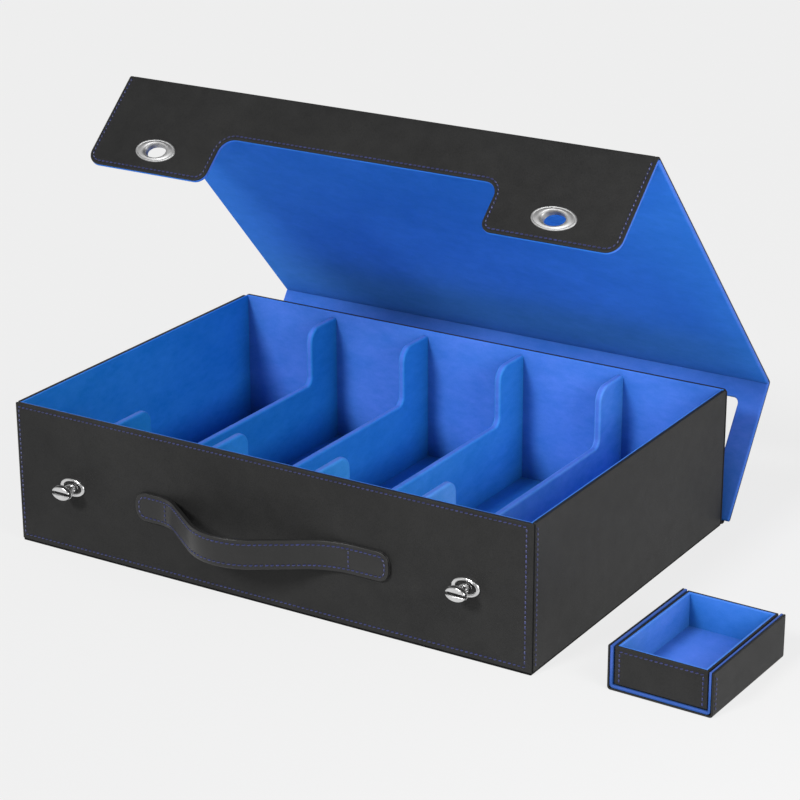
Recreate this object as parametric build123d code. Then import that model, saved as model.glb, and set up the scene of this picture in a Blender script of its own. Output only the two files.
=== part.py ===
from build123d import *
import math
import os

# A lidded card storage box, open on a table, with a small accessory box beside it.
# All sizes are in millimetres. The origin is the centre of the case's underside,
# +X runs along the width, -Y is the front and +Z is up.

# Case, outside
case_width = 395.0
case_depth = 270.0
case_height = 100.0

# Every wall and lid panel: leather outside, grey board, microfibre inside
skin = 0.7
board = 2.1
lining = 0.7
wall = skin + board + lining

# Dividers, one between each two compartments
compartments = 5
divider_board = 3.6
divider_drop = 4.0
saddle_height = 54.0
front_ear = 37.0
rear_ear = 33.0
ear_corner = 11.0
saddle_corner = 6.0

# Lid: a rear panel, a top panel and a front flap, folded over the case
lid_overhang = 4.0
rear_gap = 0.5
top_gap = 0.6
front_gap = 2.0
fold_gap = 0.3
rear_panel_end = 0.9
flap_length = 72.5
flap_corner = 10.0
tab_width = 96.5
notch_roof = 37.0
notch_corner = 10.0
tab_corner = 8.0
hinge_tuck = 18.0

# Window in the rear panel
window_side_bar = 18.0
window_top_bar = 16.0
window_bottom_bar = 15.0
window_corner = 5.0

# Rest pose: how far each fold stands open from the closed box, in degrees
rear_open = 34.5
top_open = 13.2
flap_open = 0.0

# Turn locks and the eyelets that go over them
lock_inset = 46.0
eyelet_margin = 16.9
eyelet_hole = (15.7, 10.3)
eyelet_flange = (31.6, 17.6)
eyelet_washer = (25.6, 15.2)
eyelet_barrel_wall = 0.85
eyelet_flange_thick = 1.2
eyelet_washer_thick = 0.5
eyelet_edge = 0.5
fit_gap = 0.2
lock_base = (20.2, 13.0)
lock_base_thick = 1.0
lock_neck = (11.2, 8.0)
neck_past_eyelet = 3.1
head_gap = 0.3
lock_head_thick = 4.0
head_clearance = 0.4
head_edge = 1.2
head_groove_width = 1.8
head_groove_depth = 1.5
stem_radius = 1.9
stem_running_gap = 0.05
stem_flange_radius = 2.6
stem_flange_thick = 0.8
flange_clearance = 0.3
shank_radius = 3.8
backplate_radius = 7.0
backplate_thick = 0.8

# Carry handle on the front wall
handle_length = 195.0
handle_width = 20.0
handle_height = 48.4
handle_knees = (-70.2, 54.0)
handle_apex = (-13.5, 41.0)
handle_bends = (22.0, 33.0, 60.0)
handle_outer_layer = 1.6
handle_backing = 1.2
handle_tab_corner = 8.0

# Accessory box: a U-shaped cover with a small open tray standing in it
cover_width = 70.7
cover_depth = 96.0
cover_height = 29.5
cover_corner = 2.2
cover_beside = 48.15
cover_setback = 7.9
cover_turn = -1.6
tray_side_gap = 0.8
tray_end_inset = 1.0
tray_seat_gap = 0.3
tray_board = 1.5

# Places that follow from the sizes above
half_width = case_width / 2
half_depth = case_depth / 2
front_face = -half_depth
lid_half = half_width + lid_overhang
lid_top = case_height + top_gap + wall
notch_half_width = lid_half - tab_width
lock_spacing = case_width - 2 * lock_inset
lock_height = lid_top - flap_length + eyelet_margin
hinge_y = half_depth + rear_gap + wall
hinge_z = skin / 2
flap_inner = front_face - front_gap
flap_outer = flap_inner - wall
panel_stop = lid_top - wall - fold_gap
divider_thick = divider_board + 2 * lining
pitch = (case_width - 2 * wall + divider_thick) / compartments
stem_hole = stem_radius + stem_running_gap
board_back = front_face + skin + board
shank_end = board_back - backplate_thick
washer_back = flap_inner + eyelet_washer_thick
flange_front = flap_outer - eyelet_flange_thick
neck_front = flange_front - neck_past_eyelet
head_back = neck_front - head_gap
head_front = head_back - lock_head_thick
flange_back = shank_end - flange_clearance
flange_start = flange_back - stem_flange_thick
pocket_start = flange_start - flange_clearance
cover_x = half_width + cover_beside + cover_width / 2
cover_y = front_face + cover_setback + cover_depth / 2
head_size = tuple(hole - 2 * head_clearance for hole in eyelet_hole)
barrel_size = tuple(hole + 2 * eyelet_barrel_wall for hole in eyelet_hole)
barrel_hole = tuple(size + 2 * fit_gap for size in barrel_size)

parts = {}


def block(x, y, z):
    """Box between a low and a high value on each axis."""
    size = [high - low for low, high in (x, y, z)]
    middle = [(high + low) / 2 for low, high in (x, y, z)]
    return Pos(*middle) * Box(*size)


def upright(face, y):
    """Stand a flat outline up, facing the front, at this y."""
    return Plane(origin=(0, y, 0), x_dir=(1, 0, 0), z_dir=(0, -1, 0)) * face


def slab(face, y_low, y_high):
    """Plate with an upright outline, from y_low back to y_high."""
    return extrude(upright(face, y_low), amount=y_high - y_low, dir=(0, 1, 0))


def oval(size, y_low, y_high, x=0.0, z=0.0):
    """Elliptical plug along Y: size is its full width and height."""
    return slab(Pos(x, z) * Ellipse(size[0] / 2, size[1] / 2), y_low, y_high)


def rod(radius, y_low, y_high, x=0.0, z=0.0):
    """Round plug along Y."""
    return slab(Pos(x, z) * Circle(radius), y_low, y_high)


def lock_places():
    """Middle of each turn lock, as x and z, by side."""
    return {"left": (-lock_spacing / 2, lock_height), "right": (lock_spacing / 2, lock_height)}


# Case: boards, skins and linings
def case_boards():
    low, high = skin, case_height - skin
    side = half_width - skin
    inner = side - board
    deep = half_depth - skin
    parts["front_board"] = block((-side, side), (-deep, -deep + board), (low, high))
    parts["rear_board"] = block((-side, side), (deep - board, deep), (low, high))
    parts["left_board"] = block((-side, -inner), (-deep + board, deep - board), (low, high))
    parts["right_board"] = block((inner, side), (-deep + board, deep - board), (low, high))
    reach = deep - board
    parts["base_board"] = block((-inner, inner), (-reach, reach), (low, low + board))
    for x, z in lock_places().values():
        parts["front_board"] -= rod(shank_radius + fit_gap, front_face, shank_end, x, z)
        parts["front_board"] -= rod(backplate_radius + fit_gap, shank_end, board_back, x, z)


def case_skins():
    """Outer leather, turned in over the rim as far as the lining."""
    rim = (case_height - skin, case_height)
    side = half_width - skin
    deep = half_depth - skin
    front = block((-half_width, half_width), (-half_depth, -deep), (0, case_height))
    front += block((-side, side), (-deep, -deep + board), rim)
    for x, z in lock_places().values():
        front -= rod(shank_radius + fit_gap, front_face, board_back, x, z)
    parts["front_skin"] = front
    rear = block((-half_width, half_width), (deep, half_depth), (skin, case_height))
    parts["rear_skin"] = rear + block((-side, side), (deep - board, deep), rim)
    left = block((-half_width, -side), (-deep, deep), (0, case_height))
    left += block((-side, -side + board), (-deep + board, deep - board), rim)
    parts["left_skin"] = left
    parts["right_skin"] = mirror(left, Plane.YZ)
    tuck = half_depth - hinge_tuck
    parts["base_skin"] = block((-side, side), (-deep, tuck), (0, skin))
    strip = block((-side, side), (tuck, half_depth), (0, skin))
    strip += block((-half_width, half_width), (half_depth, hinge_y - fold_gap), (0, skin))
    parts["rear_hinge_strip"] = strip


def case_linings():
    floor = skin + board
    side = half_width - skin - board
    deep = half_depth - skin - board
    high = (floor, case_height)
    parts["front_lining"] = block((-side, side), (-deep, -deep + lining), high)
    parts["rear_lining"] = block((-side, side), (deep - lining, deep), high)
    ends = (-deep + lining, deep - lining)
    parts["left_lining"] = block((-side, -side + lining), ends, high)
    parts["right_lining"] = block((side - lining, side), ends, high)
    inner = side - lining
    parts["base_lining"] = block((-inner, inner), ends, (floor, floor + lining))


def divider_outline(inset):
    """Side view of a divider: two tall ears joined by a low middle, drawn smaller by inset."""
    front, rear = -half_depth + wall, half_depth - wall
    top = case_height - divider_drop - inset
    low = saddle_height - inset
    front_edge = front + front_ear - inset
    rear_edge = rear - rear_ear + inset
    points = [
        (front, wall),
        (front, top),
        (front_edge, top),
        (front_edge, low),
        (rear_edge, low),
        (rear_edge, top),
        (rear, top),
        (rear, wall),
    ]
    ear, saddle = ear_corner - inset, saddle_corner + inset
    radii = [0, 0, ear, saddle, saddle, ear, 0, 0]
    return Plane.YZ * make_face(FilletPolyline(*points, radius=radii, close=True))


def dividers():
    for number in range(1, compartments):
        left = -half_width + wall + number * pitch - divider_thick
        core = Pos(left + lining, 0, 0) * extrude(divider_outline(lining), amount=divider_board)
        cover = Pos(left, 0, 0) * extrude(divider_outline(0), amount=divider_thick)
        parts[f"divider_{number}_board"] = core
        parts[f"divider_{number}_lining"] = cover - core


# Carry handle
def strap_path(offset, step):
    """Top view of the strap at this distance off the wall, from left to right.

    Its bow is a triangle with rounded corners, with its apex left of the middle.
    """
    reach = handle_length / 2
    (left, right), (x, rise) = handle_knees, handle_apex
    left_bend, apex_bend, right_bend = handle_bends
    up, down = math.atan2(rise, x - left), math.atan2(rise, right - x)
    lean, depth = (up - down) / 2, apex_bend / math.cos((up + down) / 2)
    centres = [
        (left - left_bend * math.tan(up / 2), left_bend),
        (x + depth * math.sin(lean), rise - depth * math.cos(lean)),
        (right + right_bend * math.tan(down / 2), right_bend),
    ]
    up, down = math.degrees(up), math.degrees(down)
    leave = CenterArc(centres[0], left_bend - offset, -90, up)
    crest = CenterArc(centres[1], apex_bend + offset, 90 + up, -up - down)
    land = CenterArc(centres[2], right_bend - offset, -90 - down, down)
    edges = [Line((-reach, offset), leave @ 0), leave, Line(leave @ 1, crest @ 0), crest]
    edges += [Line(crest @ 1, land @ 0), land, Line(land @ 1, (reach, offset))]
    return edges[::step]


def strap_layer(low, high):
    """One layer of the strap between two distances off the wall, with rounded tab ends."""
    reach = handle_length / 2
    edges = strap_path(low, 1) + strap_path(high, -1)
    edges += [Line((side, low), (side, high)) for side in (-reach, reach)]
    top_edge = handle_height + handle_width / 2
    seen_from_top = Plane(origin=(0, front_face, top_edge), x_dir=(1, 0, 0), z_dir=(0, 0, -1))
    band = extrude(seen_from_top * make_face(edges), amount=handle_width)
    outline = RectangleRounded(handle_length, handle_width, handle_tab_corner)
    far = front_face - handle_apex[1] - 2 * high
    return band & slab(Pos(0, handle_height) * outline, far, front_face)


def handle():
    parts["handle_backing"] = strap_layer(0, handle_backing)
    parts["handle_strap"] = strap_layer(handle_backing, handle_backing + handle_outer_layer)


# Turn locks
def turn_locks():
    for side, (x, z) in lock_places().items():
        base = oval(lock_base, front_face - lock_base_thick, front_face, x, z)
        base = fillet(base.faces().sort_by(Axis.Y)[0].edges(), lock_base_thick / 2)
        base += oval(lock_neck, neck_front, front_face, x, z)
        base += rod(shank_radius, front_face, shank_end, x, z)
        base -= rod(stem_hole, neck_front, shank_end, x, z)
        base -= rod(stem_flange_radius + flange_clearance, pocket_start, shank_end, x, z)
        parts[f"lock_base_{side}"] = base
        parts[f"lock_backplate_{side}"] = rod(backplate_radius, shank_end, board_back, x, z)
        parts[f"lock_knob_{side}"] = lock_knob(x, z)


def lock_knob(x, z):
    """Turning knob: oval head with a groove, a stem and the flange that holds it in."""
    head = oval(head_size, head_front, head_back, x, z)
    head = fillet(head.faces().sort_by(Axis.Y)[0].edges(), head_edge)
    long_way = (x - head_size[0], x + head_size[0])
    half_groove = head_groove_width / 2
    groove_y = (head_front, head_front + head_groove_depth)
    head -= block(long_way, groove_y, (z - half_groove, z + half_groove))
    stem = rod(stem_radius, head_back, flange_start, x, z)
    return head + stem + rod(stem_flange_radius, flange_start, flange_back, x, z)


# Lid, drawn closed and then opened to the rest pose
def turn_open(shape, y, z, degrees):
    """Turn a shape open about a fold that runs along X through y and z."""
    return shape.rotate(Axis((0, y, z), (1, 0, 0)), -degrees)


def open_rear(shape):
    return turn_open(shape, hinge_y, hinge_z, rear_open)


def open_top(shape):
    return open_rear(turn_open(shape, hinge_y, lid_top, top_open))


def open_flap(shape):
    return open_top(turn_open(shape, flap_outer, lid_top, flap_open))


def layers():
    """Each layer of a lid panel, with its two distances from the panel's inner face."""
    return {"lining": (0, lining), "board": (lining, lining + board), "skin": (wall - skin, wall)}


def rear_panel():
    low = hinge_z + rear_panel_end
    outline = Pos(0, (low + panel_stop) / 2) * Rectangle(2 * lid_half, panel_stop - low)
    side = lid_half - window_side_bar
    sill, head = hinge_z + window_bottom_bar, lid_top - window_top_bar
    window = RectangleRounded(2 * side, head - sill, window_corner)
    outline -= Pos(0, (sill + head) / 2) * window
    inner = half_depth + rear_gap
    for name, (near, far) in layers().items():
        parts[f"rear_panel_{name}"] = open_rear(slab(outline, inner + near, inner + far))


def top_panel():
    under = case_height + top_gap
    across, along = (-lid_half, lid_half), (flap_outer, hinge_y)
    for name, (near, far) in layers().items():
        plate = block(across, along, (under + near, under + far))
        parts[f"top_panel_{name}"] = open_top(plate)


def flap_outline():
    """Front flap: two lock tabs with a shallow middle between them."""
    low, roof = lid_top - flap_length, lid_top - notch_roof
    points = [
        (-lid_half, panel_stop),
        (-lid_half, low),
        (-notch_half_width, low),
        (-notch_half_width, roof),
        (notch_half_width, roof),
        (notch_half_width, low),
        (lid_half, low),
        (lid_half, panel_stop),
    ]
    tab = [flap_corner, tab_corner, notch_corner]
    radii = [0] + tab + tab[::-1] + [0]
    return make_face(FilletPolyline(*points, radius=radii, close=True))


def flap():
    outline = flap_outline()
    for x, z in lock_places().values():
        outline -= Pos(x, z) * Ellipse(barrel_hole[0] / 2, barrel_hole[1] / 2)
    for name, (near, far) in layers().items():
        plate = slab(outline, flap_inner - far, flap_inner - near)
        parts[f"flap_{name}"] = open_flap(plate)


def eyelets():
    for side, (x, z) in lock_places().items():
        ring = oval(eyelet_flange, flange_front, flap_outer, x, z)
        ring = fillet(ring.faces().sort_by(Axis.Y)[0].edges(), eyelet_edge)
        ring += oval(barrel_size, flap_outer, washer_back, x, z)
        ring -= oval(eyelet_hole, flange_front, washer_back, x, z)
        washer = oval(eyelet_washer, flap_inner, washer_back, x, z)
        washer -= oval(barrel_hole, flap_inner, washer_back, x, z)
        parts[f"eyelet_{side}"] = open_flap(ring)
        parts[f"eyelet_washer_{side}"] = open_flap(washer)


# Accessory box
def beside_case(shape):
    return Pos(cover_x, cover_y, 0) * Rot(0, 0, cover_turn) * shape


def cover_layer(outer, inner):
    """Part of the U-shaped cover between two depths from its outside."""
    half = cover_width / 2
    points = [
        (-half + outer, cover_height),
        (-half + outer, outer),
        (half - outer, outer),
        (half - outer, cover_height),
        (half - inner, cover_height),
        (half - inner, inner),
        (-half + inner, inner),
        (-half + inner, cover_height),
    ]
    big, small = max(cover_corner - outer, 0), max(cover_corner - inner, 0)
    radii = [0, big, big, 0, 0, small, small, 0]
    face = make_face(FilletPolyline(*points, radius=radii, close=True))
    return beside_case(slab(face, -cover_depth / 2, cover_depth / 2))


def tray_layer(outer, inner):
    """Part of the open tray between two depths from its outside."""
    wide = cover_width / 2 - wall - tray_side_gap
    deep = cover_depth / 2 - tray_end_inset
    low = wall + tray_seat_gap
    shell, hollow = [
        block((-wide + d, wide - d), (-deep + d, deep - d), (low + d, cover_height))
        for d in (outer, inner)
    ]
    return beside_case(shell - hollow)


def accessory_box():
    parts["cover_skin"] = cover_layer(0, skin)
    parts["cover_board"] = cover_layer(skin, skin + board)
    parts["cover_lining"] = cover_layer(skin + board, wall)
    parts["tray_skin"] = tray_layer(0, skin)
    parts["tray_board"] = tray_layer(skin, skin + tray_board)
    parts["tray_lining"] = tray_layer(skin + tray_board, skin + tray_board + lining)


def build():
    case_boards()
    case_skins()
    case_linings()
    dividers()
    handle()
    turn_locks()
    rear_panel()
    top_panel()
    flap()
    eyelets()
    accessory_box()
    os.makedirs("parts", exist_ok=True)
    for name, shape in parts.items():
        export_step(shape, f"parts/{name}.step")
    print(len(parts), "nodes written")


build()
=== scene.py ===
import math

import bmesh
import bpy
from mathutils import Matrix, Vector, noise
from mathutils.geometry import delaunay_2d_cdt


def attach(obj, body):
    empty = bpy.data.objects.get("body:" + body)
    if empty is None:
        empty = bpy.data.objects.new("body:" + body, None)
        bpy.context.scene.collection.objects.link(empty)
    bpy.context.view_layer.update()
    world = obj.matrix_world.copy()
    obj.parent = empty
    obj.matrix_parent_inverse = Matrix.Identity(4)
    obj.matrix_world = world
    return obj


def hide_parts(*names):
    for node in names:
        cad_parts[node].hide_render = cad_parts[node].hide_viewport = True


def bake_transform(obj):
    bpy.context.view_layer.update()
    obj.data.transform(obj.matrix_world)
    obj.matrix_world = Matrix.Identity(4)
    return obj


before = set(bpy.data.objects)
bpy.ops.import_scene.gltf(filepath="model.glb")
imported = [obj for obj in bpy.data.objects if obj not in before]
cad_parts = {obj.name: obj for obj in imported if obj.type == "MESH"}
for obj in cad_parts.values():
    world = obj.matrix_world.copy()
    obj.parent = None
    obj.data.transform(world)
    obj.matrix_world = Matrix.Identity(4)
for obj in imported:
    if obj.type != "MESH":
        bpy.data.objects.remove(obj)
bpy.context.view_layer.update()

# Sizes in millimetres, the same values as in the part's source
HALF_W, HALF_D, HEIGHT = 197.5, 135.0, 100.0
WALL = 3.5
ROWS, DIVIDER = 5, 5.0
LID_HALF, LID_TOP = HALF_W + 4.0, HEIGHT + 0.6 + WALL
HINGE_Y, HINGE_Z = HALF_D + 0.5 + WALL, 0.35
FLAP_OUTER = -(HALF_D + 2.0 + WALL)
REAR_OPEN, TOP_OPEN = 34.5, 13.2
FLAP_LENGTH, NOTCH_HALF, NOTCH_ROOF = 72.5, LID_HALF - 96.5, 37.0
FLAP_CORNER, NOTCH_CORNER, NOTCH_LIP = 10, 10, 8
WINDOW_SIDE, WINDOW_SILL, WINDOW_HEAD, WINDOW_CORNER = 18.0, 15.0, 16.0, 5.0
LOCK_X, LOCK_Z = HALF_W - 46.0, LID_TOP - FLAP_LENGTH + 16.9
HANDLE_Z, HANDLE_END, HANDLE_HALF, HANDLE_CORNER = 48.4, 97.5, 10, 8
COVER_HALF_W, COVER_HALF_D, COVER_HEIGHT = 35.35, 48.0, 29.5
COVER_BESIDE, COVER_SETBACK, COVER_TURN = 48.15, 7.9, -1.6

# Trim that is modelled here alone
STITCH_PITCH, STITCH_INSET, THREAD_RADIUS = 3.35, 2.6, 0.5
STITCH_SHARE = 0.4      # half a stitch's length, as a share of the pitch
# One stitch, hole to hole: place in half lengths, thickness in thread radii, lift in millimetres
STITCH_RINGS = ((-1, 0.45, -0.45), (-0.78, 0.75, -0.2), (-0.45, 1, 0.02), (0, 1.06, 0.08),
                (0.45, 1, 0.02), (0.78, 0.75, -0.2), (1, 0.45, -0.45))
GROOVE_HALF, GROOVE_BED, GROOVE_DEPTH = 0.75, 0.3, 0.13
SHARPEST = 0.02         # radius of a corner that counts as sharp
SHEET_CORNER, BEND_STEPS = 0.5, 5
RIM_CLEAR = 1.5         # how far a sheet's inner points stay from its rim
HAIR = 1e-4             # a length too small to matter
MM = 0.001              # one millimetre in metres
RIGHT, BACK, UP = (1, 0, 0), (0, 1, 0), (0, 0, 1)
SIDES = ("front", "rear", "left", "right")
PANELS = ("rear_panel", "top_panel", "flap")
LOCKS = (("left", -LOCK_X), ("right", LOCK_X))


# Outlines and sheets
def left_of(way):
    return Vector((-way.y, way.x))


def turned(way, angle):
    """A direction in the plane, turned to the left."""
    c, s = math.cos(angle), math.sin(angle)
    return Vector((way.x * c - way.y * s, way.x * s + way.y * c))


def angle_between(a, b):
    """How far direction b turns to the left of direction a."""
    return math.atan2(a.x * b.y - a.y * b.x, a.dot(b))


def rounded(points, radii, steps=7):
    """Loop with rounded corners. Its function moves it to the left of its direction."""
    corners = [Vector(p) for p in points]
    if not isinstance(radii, list):
        radii = [radii] * len(corners)

    def loop(inset=0.0):
        row = []
        for i, corner in enumerate(corners):
            way_in = (corner - corners[i - 1]).normalized()
            way_out = (corners[(i + 1) % len(corners)] - corner).normalized()
            left_in, left_out = left_of(way_in), left_of(way_out)
            towards = (left_in + left_out) / (1 + left_in.dot(left_out))
            angle = angle_between(way_in, way_out)
            side = 1 if angle > 0 else -1
            radius = max(radii[i] - inset * side, SHARPEST)
            centre = corner + towards * inset + towards * radius * side
            for k in range(steps + 1):
                spoke = turned(-side * left_in, angle * k / steps)
                row.append((centre.x + radius * spoke.x, centre.y + radius * spoke.y))
        return row
    return loop


def box_loop(x0, y0, x1, y1, radius=0.0):
    return rounded([(x0, y0), (x1, y0), (x1, y1), (x0, y1)], radius)


def hole_loop(x0, y0, x1, y1, radius):
    return rounded([(x0, y0), (x0, y1), (x1, y1), (x1, y0)], radius)


def oval_rows(rings, x=0.0, y=0.0, steps=56):
    """Ovals from (half length, half width, height)."""
    turns = [2 * math.pi * k / steps for k in range(steps)]
    return [[(x + a * math.cos(t), y + b * math.sin(t), height) for t in turns] for a, b, height in rings]


def bend(radius):
    """Edge profile: a quarter round that ends flat on top, at no height."""
    turns = [math.pi / 2 * k / BEND_STEPS for k in range(BEND_STEPS + 1)]
    return [(radius * (1 - math.cos(t)), radius * (math.sin(t) - 1)) for t in turns]


def edge_profile(depth, radius, heel=0.35, groove=None):
    """Edge of a sheet as (inset, height), from its heel up and over, with a groove for stitches."""
    rows = [(heel, -depth), (heel * 0.2, -depth + heel * 0.2), (0, -depth + heel)] + bend(radius)
    if groove:
        rows += [(groove - GROOVE_HALF, 0), (groove - GROOVE_BED, -GROOVE_DEPTH),
                 (groove + GROOVE_BED, -GROOVE_DEPTH), (groove + GROOVE_HALF, 0)]
    rows.append((rows[-1][0] + 0.5, 0))
    return rows


def is_inside(loops, x, y):
    """Whether a point lies in the outer loop and in none of its holes."""
    odd = False
    for loop in loops:
        for (x0, y0), (x1, y1) in zip(loop, loop[1:] + loop[:1]):
            if (y0 > y) != (y1 > y) and x < (x1 - x0) * (y - y0) / (y1 - y0) + x0:
                odd = not odd
    return odd


def grid_points(loops, rim, spacing):
    """Grid points inside the loops, clear of their rims."""
    xs, ys = [p.x for p in rim], [p.y for p in rim]
    width, depth = max(xs) - min(xs), max(ys) - min(ys)
    columns, rows = max(2, round(width / spacing)), max(2, round(depth / spacing))
    points = []
    for i in range(1, columns):
        for j in range(1, rows):
            x = min(xs) + width * i / columns
            y = min(ys) + depth * j / rows
            if is_inside(loops, x, y) and min((Vector((x, y)) - p).length for p in rim) > RIM_CLEAR:
                points.append(Vector((x, y)))
    return points


def fill(verts, rows, spacing=None, downwards=False, wave=0.0):
    """Triangles between an outer loop and its holes, with points on a grid inside."""
    ids = [i for row in rows for i in row]
    loops = [[verts[i][:2] for i in row] for row in rows]
    rim = [Vector(p) for loop in loops for p in loop]
    edges = []
    for row in rows:
        start = len(edges)
        edges += [(start + k, start + (k + 1) % len(row)) for k in range(len(row))]
    extra = grid_points(loops, rim, spacing) if spacing else []
    height = verts[ids[0]][2]
    found, _, triangles, origin, _, _ = delaunay_2d_cdt(rim + extra, edges, [], 0, 1e-6, True)
    index = []
    for point, source in zip(found, origin):
        if source and source[0] < len(ids):
            index.append(ids[source[0]])
        else:
            lift = wave * noise.noise(Vector((point.x * 0.02, point.y * 0.02, wave * 9)))
            index.append(len(verts))
            verts.append((point.x, point.y, height + lift))
    faces = []
    for triangle in triangles:
        a, b, c = (found[k] for k in triangle)
        middle = (a + b + c) / 3
        if is_inside(loops, middle.x, middle.y):
            upwards = (b - a).x * (c - a).y - (b - a).y * (c - a).x > 0
            if upwards == downwards:
                triangle = triangle[::-1]
            faces.append([index[k] for k in triangle])
    return faces


def band(low, high):
    """Faces between two rings with the same number of points."""
    n = len(low)
    return [(low[k], low[(k + 1) % n], high[(k + 1) % n], high[k]) for k in range(n)]


def plate(loops, profile, spacing=14.0, wave=0.0):
    """Plate from an outer loop, its holes and the profile of their edges, heel first."""
    verts, faces, feet, tops = [], [], [], []
    for loop in loops:
        rows = []
        for inset, height in profile:
            points = loop(inset)
            rows.append(list(range(len(verts), len(verts) + len(points))))
            verts += [(x, y, height) for x, y in points]
        for low, high in zip(rows, rows[1:]):
            faces += band(low, high)
        feet.append(rows[0])
        tops.append(rows[-1])
    faces += fill(verts, tops, spacing, wave=wave)
    faces += fill(verts, feet, downwards=True)
    return verts, faces


def shells(rows, closed=False):
    """Skin over a stack of rings with the same number of points, closed on itself or capped."""
    verts = [p for row in rows for p in row]
    n = len(rows[0])
    rings = [list(range(start, start + n)) for start in range(0, len(verts), n)]
    faces = [face for low, high in zip(rings, rings[1:]) for face in band(low, high)]
    if closed:
        faces += band(rings[-1], rings[0])
    else:
        faces += [rings[0][::-1], rings[-1]]
    return verts, faces


def merged(*meshes):
    verts, faces = [], []
    for more_verts, more_faces in meshes:
        start = len(verts)
        verts += more_verts
        faces += [tuple(i + start for i in face) for face in more_faces]
    return verts, faces


def steps_between(a, b, count):
    return [a + (b - a) * k / count for k in range(count + 1)]


class Path:
    """Route in a plane with rounded bends. Side 1 has its normal to the right of travel."""
    def __init__(self, points, radii, side):
        self.side, self.runs, self.marks = side, [], []
        points = [Vector(p) for p in points]
        at, s = points[0], 0.0
        for i in range(1, len(points)):
            way = (points[i] - points[i - 1]).normalized()
            angle = reach = 0.0
            if i < len(points) - 1:
                onward = (points[i + 1] - points[i]).normalized()
                angle = angle_between(way, onward)
                reach = radii[i - 1] * math.tan(abs(angle) / 2)
            length = (points[i] - at).length - reach
            self.runs.append((s, s + length, at, way, 0.0, 0.0))
            s += length
            at = points[i] - way * reach
            if angle:
                arc = radii[i - 1] * abs(angle)
                self.runs.append((s, s + arc, at, way, angle, radii[i - 1]))
                self.marks.append((s, s + arc, reach))
                s += arc
                at = points[i] + onward * reach
        self.length = s

    def before(self, number, distance):
        """Length at a distance short of a bend's corner."""
        start, _, reach = self.marks[number]
        return start - (distance - reach)

    def after(self, number, distance):
        """Length at a distance past a bend's corner."""
        _, end, reach = self.marks[number]
        return end + (distance - reach)

    def around(self, first, last, distance):
        """Both lengths: short of the first bend and past the last."""
        return self.before(first, distance), self.after(last, distance)

    def bend_steps(self, number, count):
        """Lengths that split a bend evenly."""
        start, end, _ = self.marks[number]
        return steps_between(start, end, count)

    def raised(self, s, height):
        """Point at a length along the path and a height over it. Both ends go on straight."""
        run = next((r for r in self.runs if s <= r[1]), self.runs[-1])
        start, _, point, way, angle, radius = run
        if angle:
            sign = 1 if angle > 0 else -1
            turn = sign * (s - start) / radius
            left = left_of(way) * sign
            point = point + left * radius + turned(left, turn) * -radius
            way = turned(way, turn)
        else:
            point = point + way * (s - start)
        return point + Vector((way.y, -way.x)) * self.side * height


def along(path):
    """Places a sheet's (across, along, height) on a path in the YZ plane."""
    def place(v):
        p = path.raised(v[1], v[2])
        return Vector((-path.side * v[0], p.x, p.y))
    return place


def flat(origin, u, v, matrix=Matrix()):
    """Places (u, v, height) on a flat face, and moves it as the matrix says."""
    origin, u, v = Vector(origin), Vector(u), Vector(v)
    out = u.cross(v)

    def place(p):
        return matrix @ (origin + u * p[0] + v * p[1] + out * p[2])
    return place


# Pieces
def to_bmesh(mesh):
    points, faces = mesh
    bm = bmesh.new()
    verts = [bm.verts.new(p) for p in points]
    for face in faces:
        bm.faces.new([verts[i] for i in face])
    return bm


def cut(bm, s, axis=1, drop=None):
    """Adds a line of vertices across a sheet, and drops what lies past or before it."""
    point, normal = [0.0] * 3, [0.0] * 3
    point[axis], normal[axis] = s, 1.0
    geometry = bm.verts[:] + bm.edges[:] + bm.faces[:]
    bmesh.ops.bisect_plane(bm, geom=geometry, dist=HAIR, plane_co=point, plane_no=normal,
                           clear_outer=drop == "past", clear_inner=drop == "before")


def part_of(sheet, low, high, bends=()):
    """Copy of a sheet between two lengths along it, with a line of vertices at each bend."""
    part = sheet.copy()
    if low is not None:
        cut(part, low, drop="before")
    if high is not None:
        cut(part, high, drop="past")
    for s in bends:
        cut(part, s)
    return part


def linked(name, data):
    made = bpy.data.objects.new(name, data)
    bpy.context.scene.collection.objects.link(made)
    return made


def mesh_object(name, bm):
    """Object with the mesh of a bmesh, which is used up."""
    data = bpy.data.meshes.new(name)
    bm.normal_update()
    bm.to_mesh(data)
    bm.free()
    return linked(name, data)


WHITE = (1.0, 1.0, 1.0)


def fabric_lie(lit_mix=(0.0, 1.0, 1.0), side=WHITE, ahead=WHITE, below=WHITE):
    """Painted light on a fabric: each face's share of the lit colour and a painted tint, for faces that
    look sideways, ahead and down.
    """
    return lit_mix, (side, ahead, below)


# By default faces that look ahead or down take the lit colour and sideways faces the shaded one: painted
# light
DEFAULT_PAINTED_LIGHT = fabric_lie()


def facing(normal, side, ahead, below):
    """Mixes three values by the way a face looks."""
    ahead += (below - ahead) * min(1.0, max(0.0, -2.0 * normal.z))
    return ahead + (side - ahead) * abs(normal.x)


def paint_face_light(data, lit_mix, painted_tint):
    """Paints light on each face: how much of the fabric's lit colour it takes, and its painted tint."""
    lit_mixes, painted_tints = [], []
    for face in data.polygons:
        lit_mixes.append(facing(face.normal, *lit_mix))
        painted_tints += [facing(face.normal, *values) for values in zip(*painted_tint)]
    data.attributes.new("lit_mix", "FLOAT", "FACE").data.foreach_set("value", lit_mixes)
    data.attributes.new("painted_tint", "FLOAT_VECTOR", "FACE").data.foreach_set("vector", painted_tints)


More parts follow.
